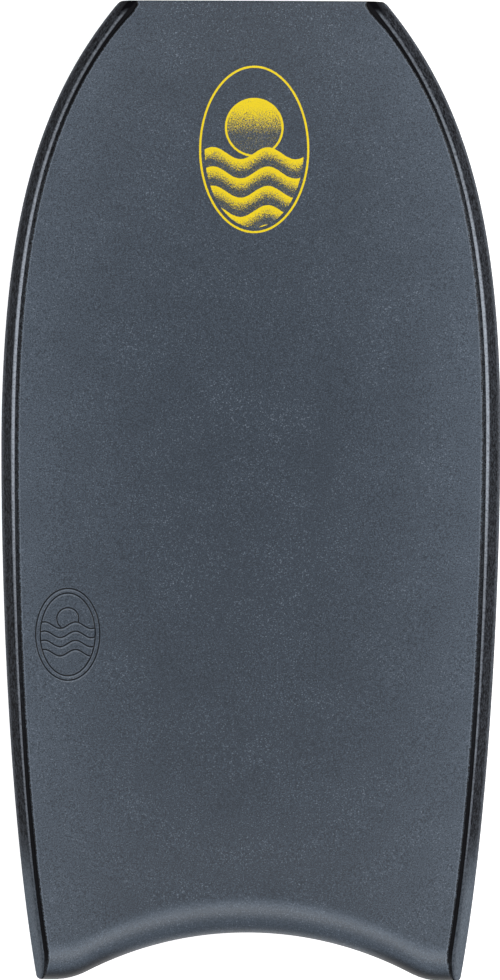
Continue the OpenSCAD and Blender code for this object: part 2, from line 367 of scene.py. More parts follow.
def channel_rise(t, g):
    across = (np.abs(g) - CHANNEL_FROM) / CHANNEL_SHARE
    bump = np.where((across > 0) & (across < 1), (1 - np.cos(2 * np.pi * across)) / 2, 0)
    return CHANNEL_DEPTH * bump * smooth((t - BOARD_LEN + CHANNEL_LEN) / CHANNEL_FADE)


def crescent(x):
    """Plan shape of the crescent, as the distance ahead of the tail tips."""
    x = np.abs(x)
    arc = CRESCENT_DEPTH - CRESCENT_R + np.sqrt(np.maximum(CRESCENT_R**2 - x * x, 0))
    tip = quarter(np.maximum(TIP_R - CRESCENT_X + x, 0), TIP_R)
    return np.where(x >= CRESCENT_X, 0, np.where(x > CRESCENT_ARC_X, tip, arc))


def lean(t):
    """Plan width of the chine for each millimetre of its height."""
    return CHINE_LEAN + NOSE_LEAN * np.maximum(0, 1 - t / NOSE_LEAN_LEN) ** 2


def chine_w(t):
    """Plan width of the chine, square to the outline."""
    return lean(t) * (deck_z(t, 0) - edge_z(t))


def tip_share(t):
    """Share of the rail top's width that is left as it runs down the rolled tail edge."""
    return 1 - TIP_NARROWING * smooth((t - BOARD_LEN + TIP_NARROWING_LEN) / TIP_NARROWING_LEN)


def bead_w(t):
    taper = smooth((t - BEAD_TAPER_FROM) / (BEAD_TAPER_TO - BEAD_TAPER_FROM))
    return (BEAD_FRONT_W + (BEAD_TAIL_W - BEAD_FRONT_W) * taper) * tip_share(t)


def inset_x(t, d):
    """Half width of the board at distance d inside the outline."""
    w = half_width(t)
    corner = quarter(np.minimum(t, BOARD_LEN - t), CORNER_R)
    return np.minimum(w - d * spread(t), w - corner)


def deck_x(t):
    """Half width of the deck skin. At the nose it is cut back behind its flared corner."""
    deep = DEEP_CUT * (1 - smooth((t - CUT_START) / DEEP_CUT_LEN))
    cut = smooth(t / CUT_START) * (CUT + deep) * (1 - smooth(t / CUT_LEN))
    flare = FLARE * (1 - smooth(t / FLARE_LEN))
    return inset_x(t, chine_w(t) + RAIL_TOP_W * tip_share(t)) + flare - cut


def base_x(t):
    """Half width of the underside's sheets, which end short of the lower rail."""
    return np.minimum(deck_x(t), inset_x(t, BASE_INSET))


def place(t, x, z):
    """Points at distance t from the nose, bent into the crescent towards the tail."""
    y = BOARD_LEN / 2 - t + crescent(x) * smooth((t - BEND_FROM) / BEND_LEN)
    return np.stack(np.broadcast_arrays(x, y, z), axis=-1)


def side(t, d, z):
    return place(t, inset_x(t, d), z)


def deck_top(t, g):
    return place(t, g * deck_x(t), top_z(t) + CROWN * (1 - g * g))


def deck_under(t, g):
    return place(t, g * deck_x(t), deck_z(t, SKIN_T) + CROWN * (1 - g * g))


def base(t, g, h):
    return place(t, g * base_x(t), rocker(t) + h + channel_rise(t, g))


def tuck(t, h):
    return side(t, TUCK * (1 - h / (edge_z(t) - rocker(t))), rocker(t) + h)


def core_base(t, h):
    return side(t, TUCK + STRIP_T, rocker(t) + h)


def core_side(t):
    return side(t, STRIP_T, edge_z(t))


def core_top(t):
    z = deck_z(t, SKIN_T)
    return side(t, STRIP_T + lean(t) * (z - edge_z(t)), z)


def blend_points(a, b, c, u):
    """Point at parameter u of the quadratic curve from a to c that b pulls."""
    return a * (1 - u) ** 2 + 2 * b * u * (1 - u) + c * u * u


# ---------------------------------------------------------------- rows and meshes
def spaced(start, end, step):
    """Even steps from start to end, without start itself."""
    count = math.ceil((end - start) / step)
    return start + (end - start) * np.arange(1, count + 1) / count


def rows(step, bend_step):
    """Distances from the nose at which a mesh has points, closer at the nose edge and in the roll."""
    turn = np.linspace(0, np.pi / 2, NOSE_ROWS)
    roll = np.linspace(0, np.pi / 2, ROLL_ROWS + 1)[1:]
    return np.concatenate([
        NOSE_ROUND * (1 - np.cos(turn)),
        spaced(NOSE_ROUND, CORNER_R, NOSE_STEP),
        spaced(CORNER_R, BEND_FROM, step),
        spaced(BEND_FROM, BEND_FROM + BEND_LEN, bend_step),
        BOARD_LEN - ROLL_LEN * (1 - np.sin(roll)),
    ])


def mirrored(points):
    return points * np.array([-1, 1, 1])


def grid_faces(row_count, n):
    """Quads of a closed tube of row_count rings with n points each, as a dict by (ring, point)."""
    return {
        (i, j): [i * n + j, i * n + (j + 1) % n, (i + 1) * n + (j + 1) % n, (i + 1) * n + j]
        for i in range(row_count - 1)
        for j in range(n)
    }


def build(name, points, faces, node, slot, attributes=None):
    """A smooth mesh piece that rides on the board and stands for one CAD node."""
    mesh = bpy.data.meshes.new(name)
    mesh.from_pydata((np.asarray(points) * MM).tolist(), [], faces)
    mesh.materials.append(MATERIALS[slot])
    for key, values in (attributes or {}).items():
        mesh.attributes.new(key, "FLOAT", "POINT").data.foreach_set("value", values)
    work = bmesh.new()
    work.from_mesh(mesh)
    bmesh.ops.recalc_face_normals(work, faces=work.faces)
    work.to_mesh(mesh)
    work.free()
    mesh.polygons.foreach_set("use_smooth", [True] * len(mesh.polygons))
    mesh.set_sharp_from_angle(angle=SHARP_ANGLE)
    piece = bpy.data.objects.new(name, mesh)
    bpy.context.scene.collection.objects.link(piece)
    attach(piece, "root")
    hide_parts(node)


def strip(name, columns, node, slot, flip, attributes=None):
    """A long strip through columns of points that run from the nose to the tail; flip makes its left
    twin."""
    grid = np.stack(columns, axis=1)
    if flip:
        grid = mirrored(grid)
    row_count, n = grid.shape[:2]
    faces = list(grid_faces(row_count, n).values())
    faces += [list(range(n)), list(range((row_count - 1) * n, row_count * n))]
    build(name, grid.reshape(-1, 3), faces, node, slot, attributes)


def sheet_loop(top, wall, under):
    """Ring of columns round a full-width sheet: top and under run from left to right, wall down the right."""
    left_wall = [mirrored(column) for column in wall]
    return np.stack([*top, *wall, *reversed(under), *reversed(left_wall)], axis=1)


def sheet_caps(row_count, width, wall_count):
    """End faces of a sheet that has width columns in its top and wall_count in each wall."""
    n = 2 * (width + wall_count)
    caps = []
    for first in (0, (row_count - 1) * n):
        under = [2 * width + wall_count - 1 - j for j in range(width)]
        ring = [[j, j + 1, under[j + 1], under[j]] for j in range(width - 1)]
        ring.append(list(range(width - 1, width + wall_count + 1)))
        ring.append([*range(under[0], n), 0])
        caps += [[first + k for k in face] for face in ring]
    return caps


def sheet(name, top, wall, under, node, slot):
    ring = sheet_loop(top, wall, under)
    row_count, n = ring.shape[:2]
    faces = [*grid_faces(row_count, n).values(), *sheet_caps(row_count, len(top), len(wall))]
    build(name, ring.reshape(-1, 3), faces, node, slot)


# ---------------------------------------------------------------- pressed badge
def oval_distance(x, y, half_w, half_h):
    """Signed distance, close to the line, from an upright oval's outline; negative inside."""
    r = np.sqrt((x / half_w) ** 2 + (y / half_h) ** 2) + TINY
    slope = np.sqrt((x / half_w**2) ** 2 + (y / half_h**2) ** 2) / r + TINY
    return (r - 1) / slope


def press_lines(x, y):
    """Distance to the nearest line of the pressed badge: two ovals with swell lines inside."""
    outer = oval_distance(x, y, PRESS_HALF_W, PRESS_HALF_H)
    inner = oval_distance(x, y, PRESS_HALF_W - PRESS_RING_GAP, PRESS_HALF_H - PRESS_RING_GAP)
    turn = 2 * np.pi * x / PRESS_SWELL_LEN
    wave = PRESS_SWELL_H * np.sin(turn)
    slope = PRESS_SWELL_H * 2 * np.pi / PRESS_SWELL_LEN * np.cos(turn)
    steep = np.sqrt(1 + slope**2)
    swell = [np.abs(y - level - wave) / steep for level in PRESS_SWELL_LEVELS]
    inside = np.maximum(np.minimum.reduce(swell), inner)
    above_water = wave + PRESS_SWELL_LEVELS[0] - y
    sun = np.maximum(np.abs(np.hypot(x, y - PRESS_SUN_Y) - PRESS_SUN_R), above_water)
    return np.minimum.reduce([np.abs(outer), np.abs(inner), inside, np.abs(sun)])


def pressed(x, y):
    """Share of the full depth that the pressed badge has at each point of the deck."""
    d = press_lines(x - PRESS_X, y - PRESS_Y)
    return 1 - smooth(d / PRESS_LINE)


def refine(points, cells, columns, t, g, inside, split):
    """Splits the grid cells whose rows and columns lie in the two ranges of inside, and hands the
    points on the border to the cells around them. Returns the added t and g of each new point."""
    (r0, r1), (c0, c1) = inside
    fine_t = np.interp(np.arange((r1 - r0) * split + 1) / split + r0, np.arange(len(t)), t)
    fine_g = np.interp(np.arange((c1 - c0) * split + 1) / split + c0, np.arange(len(g)), g)
    index = np.full((len(fine_t), len(fine_g)), -1)
    for i in range(r0, r1 + 1):
        for j in range(c0, c1 + 1):
            index[(i - r0) * split, (j - c0) * split] = i * columns + j
    new = index < 0
    index[new] = len(points) + np.arange(new.sum())
    grid_t, grid_g = np.meshgrid(fine_t, fine_g, indexing="ij")

    # The coarse cells go, and each cell beside them takes in the new points on its border
    for i in range(r0, r1):
        for j in range(c0, c1):
            del cells[i, j]
    for j in range(c0, c1):
        span = slice((j - c0) * split + 1, (j - c0 + 1) * split)
        a, b, c, d = cells[r0 - 1, j]
        cells[r0 - 1, j] = [a, b, c, *index[0, span][::-1], d]
        a, b, c, d = cells[r1, j]
        cells[r1, j] = [a, *index[-1, span], b, c, d]
    for i in range(r0, r1):
        span = slice((i - r0) * split + 1, (i - r0 + 1) * split)
        a, b, c, d = cells[i, c0 - 1]
        cells[i, c0 - 1] = [a, b, *index[span, 0], c, d]
        a, b, c, d = cells[i, c1]
        cells[i, c1] = [a, b, c, d, *index[span, -1][::-1]]
    for i in range(len(fine_t) - 1):
        for j in range(len(fine_g) - 1):
            cells[i, j, "fine"] = [index[i, j], index[i, j + 1], index[i + 1, j + 1], index[i + 1, j]]
    return grid_t[new], grid_g[new]


# ---------------------------------------------------------------- materials
class Wire:
    """A number that a node gives. Arithmetic on it adds Math nodes to the same tree."""

    def __init__(self, paint, socket):
        self.paint = paint
        self.socket = socket

    def __add__(self, other):
        return self.paint.math("ADD", self, other)

    def __radd__(self, other):
        return self.paint.math("ADD", other, self)

    def __sub__(self, other):
        return self.paint.math("SUBTRACT", self, other)

    def __rsub__(self, other):
        return self.paint.math("SUBTRACT", other, self)

    def __mul__(self, other):
        return self.paint.math("MULTIPLY", self, other)

    def __rmul__(self, other):
        return self.paint.math("MULTIPLY", other, self)

    def __truediv__(self, other):
        return self.paint.math("DIVIDE", self, other)

    def __abs__(self):
        return self.paint.math("ABSOLUTE", self)


class Paint:
    """One material: a Principled shader and short calls that add the nodes in front of it."""

    def __init__(self, name, **fixed):
        self.material = bpy.data.materials.new(name)
        self.material.use_nodes = True
        self.nodes = self.material.node_tree.nodes
        self.links = self.material.node_tree.links
        self.shader = self.nodes["Principled BSDF"]
        for socket, value in fixed.items():
            self.shader.inputs[socket.replace("_", " ")].default_value = value
        self.object_place = self.add("ShaderNodeTexCoord").outputs["Object"]

    def add(self, kind, **settings):
        node = self.nodes.new(kind)
        for key, value in settings.items():
            setattr(node, key, value)
        return node

    def feed(self, socket, value):
        """Links a wire or an output to a socket, or sets the socket's own value."""
        if isinstance(value, Wire):
            value = value.socket
        if isinstance(value, bpy.types.NodeSocket):
            self.links.new(value, socket)
        else:
            socket.default_value = value

    def math(self, operation, *values):
        node = self.add("ShaderNodeMath", operation=operation)
        for socket, value in zip(node.inputs, values):
            self.feed(socket, value)
        return Wire(self, node.outputs[0])

    def clamp(self, value):
        node = self.add("ShaderNodeClamp")
        self.feed(node.inputs[0], value)
        return Wire(self, node.outputs[0])

    def largest(self, *values):
        most = values[0]
        for value in values[1:]:
            most = self.math("MAXIMUM", most, value)
        return most

    def step(self, value, low, high):
        """0 below low, 1 above high, and a smooth rise between them."""
        node = self.add("ShaderNodeMapRange", interpolation_type="SMOOTHSTEP")
        self.feed(node.inputs["Value"], value)
        node.inputs["From Min"].default_value = low
        node.inputs["From Max"].default_value = high
        return Wire(self, node.outputs["Result"])

    def axes(self):
        """The object's own x, y and z in millimetres."""
        node = self.add("ShaderNodeSeparateXYZ")
        self.feed(node.inputs[0], self.object_place)
        return [Wire(self, out) * (1 / MM) for out in node.outputs]

    def upright(self):
        """1 where the object's surface faces up, 0 where it is vertical."""
        node = self.add("ShaderNodeSeparateXYZ")
        self.feed(node.inputs[0], self.add("ShaderNodeTexCoord").outputs["Normal"])
        return Wire(self, node.outputs[2])

    def noise(self, size, detail=2.0, roughness=0.5, stretch=None):
        """Cloudy noise whose blotches are about size millimetres wide."""
        place = self.object_place
        if stretch:
            node = self.add("ShaderNodeMapping")
            self.feed(node.inputs["Vector"], place)
            node.inputs["Scale"].default_value = stretch
            place = node.outputs[0]
        node = self.add("ShaderNodeTexNoise")
        self.feed(node.inputs["Vector"], place)
        node.inputs["Scale"].default_value = 1 / (size * MM)
        node.inputs["Detail"].default_value = detail
        node.inputs["Roughness"].default_value = roughness
        return Wire(self, node.outputs[0])

    def cells(self, size):
        """Distance from the middle of each cell, and the cell's own random number."""
        node = self.add("ShaderNodeTexVoronoi", feature="F1")
        self.feed(node.inputs["Vector"], self.object_place)
        node.inputs["Scale"].default_value = 1 / (size * MM)
        return Wire(self, node.outputs["Distance"]), Wire(self, node.outputs["Color"])

    def attribute(self, name):
        node = self.add("ShaderNodeAttribute", attribute_name=name)
        return Wire(self, node.outputs["Fac"])

    def mix(self, share, a, b):
        """Colour a where share is 0 and b where it is 1."""
        node = self.add("ShaderNodeMix", data_type="RGBA")
        self.feed(node.inputs[0], share)
        self.feed(node.inputs[6], a)
        self.feed(node.inputs[7], b)
        return node.outputs[2]

    def bump(self, height, depth):
        """Bump of this depth, in millimetres, for a height from 0 to 1."""
        node = self.add("ShaderNodeBump")
        node.inputs["Strength"].default_value = 1.0
        node.inputs["Distance"].default_value = depth * MM
        self.feed(node.inputs["Height"], height)
        self.feed(self.shader.inputs["Normal"], node.outputs[0])

    def finish(self, colour, roughness=None):
        self.feed(self.shader.inputs["Base Color"], colour)
        if roughness is not None:
            self.feed(self.shader.inputs["Roughness"], roughness)
        return self.material


def rgb(red, green, blue):
    return (red, green, blue, 1.0)


DECK_DARK = rgb(0.0165, 0.0225, 0.0310)
DECK_LIGHT = rgb(0.0370, 0.0500, 0.0690)
DECK_LIT = rgb(0.098, 0.122, 0.155)
DECK_GLINT = rgb(0.15, 0.18, 0.22)
SHADE_BLACK = rgb(0.003, 0.003, 0.004)
RAIL_DARK = rgb(0.002, 0.002, 0.003)
RAIL_LIGHT = rgb(0.036, 0.040, 0.048)
TAIL_LIT_DARK = rgb(0.045, 0.056, 0.070)
TAIL_LIT_LIGHT = rgb(0.130, 0.150, 0.176)
HIGHLIGHT_GREY = rgb(0.285, 0.312, 0.355)
PIN_DARK = rgb(0.0045, 0.0045, 0.0055)
PIN_LIGHT = rgb(0.052, 0.058, 0.068)
INK_YELLOW = rgb(0.66, 0.49, 0.001)
NOISE_MIDDLE = 0.5
THREAD_SLANT = 0.7


def swing(noise, contrast):
    """Noise that swings about 0, with its contrast changed."""
    return (noise - NOISE_MIDDLE) * contrast


def soft_edge(paint, inside):
    """1 where inside, in millimetres, is positive, with a crisp edge 0.3 mm wide."""
    return paint.clamp(inside * INK_EDGE_SLOPE + 0.5)


def badge_ink(paint):
    """Share of ink of the printed badge: an oval ring round a sun over rows of swell, whose fills
    are stippled and fade away from the lines."""
    x, y, _ = paint.axes()
    wobble = swing(paint.noise(1.1, 1.0), INK_WOBBLE)
    x = x - PRINT_X + wobble
    y = y - PRINT_Y + wobble
    spray = paint.step(paint.noise(0.75, 1.0), 0.28, 0.72)

    u, v = x * (1 / PRINT_HALF_W), y * (1 / PRINT_HALF_H)
    r = paint.math("SQRT", u * u + v * v)
    p, q = u * (1 / PRINT_HALF_W), v * (1 / PRINT_HALF_H)
    rim = (r - 1) * r / paint.math("SQRT", p * p + q * q + TINY)
    ring = soft_edge(paint, INK_STROKE / 2 - abs(rim + INK_STROKE / 2))
    inner = soft_edge(paint, -1 * rim - PRINT_RING_GAP)

    wave = paint.math("SINE", x * (2 * math.pi / PRINT_SWELL_LEN))
    level = y - wave * PRINT_SWELL_H + PRINT_SWELL_Y
    down = paint.math("FLOORED_MODULO", level, PRINT_SWELL_PITCH)
    under_water = soft_edge(paint, -1 * level)
    crest = soft_edge(paint, down - (PRINT_SWELL_PITCH - INK_STROKE))
    faded = down - PRINT_FADE_FROM * PRINT_SWELL_PITCH
    shade = paint.clamp(faded * (1 / (PRINT_FADE * PRINT_SWELL_PITCH)))
    swell_fill = soft_edge(paint, (shade - spray) * INK_FILL_CONTRAST)
    water = under_water * paint.largest(crest, swell_fill)

    up = y - PRINT_SUN_Y
    from_sun = paint.math("SQRT", x * x + up * up) - PRINT_SUN_R
    sun_ring = soft_edge(paint, INK_STROKE / 2 - abs(from_sun + INK_STROKE / 2))
    sun_shade = paint.clamp((y - (PRINT_SUN_Y - PRINT_SUN_FADE_FROM)) * (1 / PRINT_SUN_FADE))
    sun_fill = soft_edge(paint, (sun_shade - spray) * INK_FILL_CONTRAST)
    sun_fill = sun_fill * soft_edge(paint, -1 * from_sun)
    sun = paint.largest(sun_ring, sun_fill) * (1 - under_water)
    return paint.largest(ring, inner * paint.largest(water, sun))


def deck_foam():
    """Slate foam skin with a fine grain and painted glints, and painted light that makes it paler towards
    its edges; the printed badge; painted shade in the pressed lines, at the groove and where the rolled
    tail edge turns down; and painted highlights beside the pressed lines, on the lip and on the roll."""
    paint = Paint("deck_foam", Specular_IOR_Level=0.3)
    grain = paint.noise(2.4, 3.0, 0.65)
    fine = paint.noise(1.2, 2.0, 0.6)
    cloud = paint.noise(60, 2.0)
    tone = paint.clamp(swing(grain, 1.8) + swing(fine, 2.8) + swing(cloud, 0.3) + 0.5)
    # Painted glints: sparse light specks of the grain
    painted_glint = paint.step(paint.noise(1.5, 1.0), 0.58, 0.76) * paint.step(cloud + fine * 0.5, 0.25, 1.2)
    colour = paint.mix(tone, DECK_DARK, DECK_LIGHT)
    # Painted light: paler towards the sides, nose and tail
    colour = paint.mix(paint.attribute("pale") * (0.1 + tone * 0.45), colour, DECK_LIT)
    # Painted highlight along the crest of the rolled tail edge
    colour = paint.mix(paint.attribute("roll_highlight") * (0.7 + tone * 0.6), colour, DECK_LIT)
    colour = paint.mix(painted_glint, colour, DECK_GLINT)
    # Painted highlight on the foam raised beside each pressed line
    colour = paint.mix(paint.attribute("raised") * 0.45, colour, DECK_GLINT)
    # Painted shade: the pressed lines are painted black
    colour = paint.mix(paint.step(paint.attribute("pressed"), 0.2, 0.6), colour, SHADE_BLACK)

    # The last millimetres before the groove: dark, rough foam, a painted highlight on the lip and painted
    # shade at the black edge
    from_edge = paint.attribute("from_edge") + swing(paint.noise(1.8, 2.0, 0.7), 6)
    lip = paint.step(from_edge, 0.6, 1.4) * paint.step(from_edge, 3.2, 1.8)
    near_edge = paint.step(paint.attribute("from_edge"), 7, 1)
    rough = near_edge * paint.clamp(swing(paint.noise(2.6, 2.0, 0.7), 6))
    colour = paint.mix(rough * 0.5, colour, DECK_DARK)
    # Painted highlight on the rounded lip
    colour = paint.mix(lip * 0.45, colour, DECK_GLINT)
    # Painted shade: the deck's edge is painted black where it drops into the groove
    colour = paint.mix(paint.step(from_edge, 0.6, 0.1), colour, SHADE_BLACK)

    # Painted shade where the rolled tail edge turns down
    colour = paint.mix(paint.attribute("shade"), colour, SHADE_BLACK)
    colour = paint.mix(badge_ink(paint), colour, INK_YELLOW)
    paint.bump(grain * 0.6 + fine * 0.4, 0.16)
    steep = paint.step(paint.upright(), 0.45, 0.1)
    return paint.finish(colour, 0.36 + swing(fine, 0.3) + steep * 0.5)


def rail_foam():
    """Charcoal foam strip with a coarse, streaky grain, a painted highlight along the bead, a painted
    reflection along the widest edge, painted shade in the groove and at the nose end, and painted light
    that turns it slate grey towards the tail end.
    """
    paint = Paint("rail_foam", Specular_IOR_Level=0.005)
    grain = paint.noise(2.6, 3.0, 0.75)
    streak = paint.noise(3.6, 2.0, 0.6, stretch=(1.0, 0.6, 1.0))
    tone = paint.clamp(swing(grain, 4.4) + swing(streak, 2.6) + 0.38)
    colour = paint.mix(tone, RAIL_DARK, RAIL_LIGHT)
    # Painted light towards the tail, in a lit slate grey
    painted_tail_light = paint.mix(paint.clamp(swing(grain, 2.4) + 0.5), TAIL_LIT_DARK, TAIL_LIT_LIGHT)
    colour = paint.mix(paint.attribute("painted_tail_light"), colour, painted_tail_light)
    gloss_and_painted_highlight = paint.attribute("gloss_and_painted_highlight")
    # Painted highlight along the bead and painted reflection along the widest edge, where the foam is also a
    # touch glossier
    colour = paint.mix(gloss_and_painted_highlight * (0.88 + swing(grain, 2.2)), colour, HIGHLIGHT_GREY)
    # Painted shade: black down the wall into the groove
    into_groove = paint.attribute("into_groove") + swing(paint.noise(2.6, 2.0, 0.7), 2.6)
    colour = paint.mix(paint.step(into_groove, 0.55, 0.75), colour, SHADE_BLACK)
    # Painted shade at the nose end, where the rail's top sinks
    colour = paint.mix(paint.attribute("cap"), colour, SHADE_BLACK)
    paint.bump(grain * 0.7 + streak * 0.3, 0.35)
    return paint.finish(colour, 0.5 + swing(grain, 0.4) - gloss_and_painted_highlight * 0.15)


def pin_line_black():
    """Black foam line at the bottom of the groove, with painted light that makes it paler in places."""
    paint = Paint("pin_line_black", Specular_IOR_Level=0.05)
    grain = paint.noise(2.4, 3.0, 0.75)
    # Painted light: paler behind the nose and at the tail tips
    colour = paint.mix(paint.attribute("painted_pin_light") * (swing(grain, 5) + 0.55), PIN_DARK, PIN_LIGHT)
    paint.bump(grain, 0.3)
    return paint.finish(colour, 0.6 + swing(grain, 0.3))


def slick_plastic():
    """Semi-gloss black bottom sheet with a faint ripple and fine drag marks along the board."""
    paint = Paint("slick_plastic", Specular_IOR_Level=0.5)
    ripple = paint.noise(16, 2.0)
    drag = paint.noise(1.4, 3.0, 0.6, stretch=(1.0, 0.03, 1.0))
    marks = paint.step(drag, 0.58, 0.72)
    colour = paint.mix(marks * 0.5, rgb(0.008, 0.009, 0.011), rgb(0.024, 0.026, 0.030))
    paint.bump(ripple * 0.9 + marks * 0.1, 0.25)
    return paint.finish(colour, 0.22 + marks * 0.16 + swing(ripple, 0.1))


def core_foam():
    """White expanded foam: beads pressed together, with darker seams between them."""
    paint = Paint("core_foam", Specular_IOR_Level=0.3)
    away, chance = paint.cells(3.2)
    seam = paint.step(away, 0.42, 0.62)
    colour = paint.mix(chance, rgb(0.78, 0.78, 0.74), rgb(0.86, 0.86, 0.83))
    colour = paint.mix(seam * 0.7, colour, rgb(0.60, 0.60, 0.56))
    paint.bump(1 - seam, 0.3)
    return paint.finish(colour, 0.75 + seam * 0.1)


def lattice(paint, pitch):
    """Share of thread at each point of two sets of threads that cross at 45 degrees to the board."""
    x, y, _ = paint.axes()
    first = paint.math("PINGPONG", (x * THREAD_SLANT + y * THREAD_SLANT) * (1 / pitch), 0.5)
    second = paint.math("PINGPONG", (x * THREAD_SLANT - y * THREAD_SLANT) * (1 / pitch), 0.5)
    return paint.step(first, 0.38, 0.46), paint.step(second, 0.38, 0.46)


def mesh_fibre():
    """Open fibre mesh in pale green, woven square to itself at 45 degrees to the board."""
    paint = Paint("mesh_fibre", Specular_IOR_Level=0.4)
    first, second = lattice(paint, 3.0)
    thread = paint.largest(first, second)
    fuzz = paint.noise(0.8, 2.0)
    colour = paint.mix(thread, rgb(0.30, 0.38, 0.31), rgb(0.46, 0.56, 0.46))
    paint.bump(thread * 0.8 + fuzz * 0.2, 0.25)
    return paint.finish(colour, 0.6 + swing(fuzz, 0.2))


def stringer_carbon():
    """Carbon tube under clear resin: crossing tows, one set lighter than the other."""
    paint = Paint("stringer_carbon", Coat_Weight=0.8, Coat_Roughness=0.08)
    first, second = lattice(paint, 4.0)
    fibre = paint.noise(0.5, 2.0, stretch=(1.0, 0.2, 1.0))
    colour = paint.mix(first, rgb(0.012, 0.012, 0.014), rgb(0.045, 0.046, 0.050))
    colour = paint.mix(second * 0.5, colour, rgb(0.022, 0.022, 0.025))
    paint.bump(first * 0.5 + second * 0.3 + fibre * 0.2, 0.1)
    return paint.finish(colour, 0.32 + swing(fibre, 0.2))


def plug_plastic():
    """Off-white moulded plastic with a faint grain."""
    paint = Paint("plug_plastic", Specular_IOR_Level=0.5)
    grain = paint.noise(0.7, 2.0)
    colour = paint.mix(grain, rgb(0.66, 0.66, 0.64), rgb(0.74, 0.74, 0.72))
    paint.bump(grain, 0.06)
    return paint.finish(colour, 0.38 + swing(grain, 0.15))


MATERIALS = {
    make.__name__: make()
    for make in (
        deck_foam, rail_foam, pin_line_black, slick_plastic,
        core_foam, mesh_fibre, stringer_carbon, plug_plastic,
    )
}


# ---------------------------------------------------------------- pieces
def deck_columns():
    """Places across the deck, as shares of its half width, closer towards its edges."""
    inner = np.linspace(0, DECK_COLUMNS_TO, DECK_COLUMNS)
    right = np.concatenate([inner, DECK_EDGE_COLUMNS])
    return np.concatenate([-right[:0:-1], right])


def lip_columns(t):
    """Columns of the deck skin's right edge: the rounded lip, the groove's wall and the hidden edge."""
    x, z = deck_x(t), top_z(t)
    turns = np.linspace(0, np.pi / 2, 5)
    lip = [place(t, x - LIP_R * (1 - np.sin(a)), z - LIP_R * (1 - np.cos(a))) for a in turns]
    wall = [place(t, x, deck_z(t, depth)) for depth in (GROOVE_DEPTH, GROOVE_DEPTH + PIN_T, SKIN_T)]
    return lip + wall


def painted_light_share(x, y):
    """Share of painted light on the deck: none in its middle, and most at its sides and nose."""
    t = BOARD_LEN / 2 - y
    edge = deck_x(np.clip(t, PALE_SIDE_FROM, PALE_SIDE_TO))
    to_side = np.minimum(np.abs(x) / edge, 1) ** PALE_SIDE_POWER
    to_nose = PALE_NOSE * (1 - smooth((t - PALE_NOSE_FROM) / PALE_NOSE_FADE))
    to_nose = to_nose - PALE_NOSE_EDGE_LOSS * (1 - smooth(t / PALE_NOSE_FROM))
    to_tail = PALE_TAIL * smooth((t - PALE_TAIL_FROM) / PALE_TAIL_RISE)
    to_tail = to_tail * (1 - smooth((t - PALE_TAIL_TO) / PALE_TAIL_FADE))
    return 1 - (1 - to_side) * (1 - to_nose) * (1 - to_tail)


def roll_painted_highlight(t):
    """Painted highlight on the rolled tail edge: most at its crest, and less further down."""
    rise = SHEEN * smooth((t - SHEEN_FROM) / SHEEN_RISE)
    return rise * (1 - SHEEN_LOSS * smooth((t - SHEEN_LOSS_FROM) / SHEEN_LOSS_LEN))


def roll_shade(t, x):
    """Painted shade on the rolled edge where it turns down: most near the tail tips."""
    towards_tip = smooth((np.abs(x) - SHADE_TIP_FROM) / SHADE_TIP_LEN)
    return smooth((t - SHADE_FROM) / SHADE_RISE) * (SHADE_MIDDLE + SHADE_TIP * towards_tip)


def press_ranges(t, g):
    """Ranges of the deck's rows and columns that hold the pressed badge and its margins."""
    press_t = BOARD_LEN / 2 - PRESS_Y
    both = np.array([-1, 1])
    reach_t = both * (PRESS_HALF_H + PRESS_MARGIN_LONG) + press_t
    reach_x = PRESS_X + both * (PRESS_HALF_W + PRESS_MARGIN_WIDE)
    reach_g = reach_x / deck_x(np.array([press_t]))
    return [
        (np.searchsorted(values, reach[0]) - 1, np.searchsorted(values, reach[1]))
        for values, reach in ((t, reach_t), (g, reach_g))
    ]


def deck_edge_distance(t, g, wall_count):
    """How far each point of the deck's ring lies from the groove; the hidden underside counts as
    far away."""
    on_wall = np.zeros(wall_count)
    shares = np.concatenate([1 - np.abs(g), on_wall, np.ones(len(g)), on_wall])
    return np.minimum(EDGE_REACH, np.outer(deck_x(t), shares).ravel())


def make_deck():
    """The deck skin, with the pressed badge in a patch of fine cells."""
    t, g = rows(7.5, 5), deck_columns()
    top = [deck_top(t, share) for share in g]
    under = [deck_under(t, share) for share in g]
    wall = lip_columns(t)
    ring = sheet_loop(top, wall, under)
    row_count, n = ring.shape[:2]
    points = ring.reshape(-1, 3)
    cells = grid_faces(row_count, n)

    fine_t, fine_g = refine(points, cells, n, t, g, press_ranges(t, g), PRESS_SPLIT)
    points = np.concatenate([points, deck_top(fine_t, fine_g)])

    width = len(g)
    on_top = np.zeros(len(points), bool)
    on_top[: row_count * n] = np.arange(row_count * n) % n < width
    on_top[row_count * n:] = True
    x, y = points[:, 0], points[:, 1]
    share = np.where(on_top, pressed(x, y), 0)
    lip = np.where(on_top, pressed(x - PRESS_LIP_X, y - PRESS_LIP_Y), 0) * (1 - share)
    points[:, 2] += PRESS_LIP * lip - PRESS_DEPTH * share

    from_edge = np.full(len(points), EDGE_REACH)
    from_edge[: row_count * n] = deck_edge_distance(t, g, len(wall))
    along = np.concatenate([np.repeat(t, n), fine_t])
    faces = [*cells.values(), *sheet_caps(row_count, width, len(wall))]
    marks = {
        "pressed": share,
        "raised": lip,
        "from_edge": from_edge,
        # Painted light over the deck, a painted highlight on the rolled tail edge and painted shade where it
        # turns down
        "pale": painted_light_share(x, y),
        "roll_highlight": roll_painted_highlight(along),
        "shade": roll_shade(along, x),
    }
    build("deck_foam_skin", points, faces, "deck_skin", "deck_foam", marks)


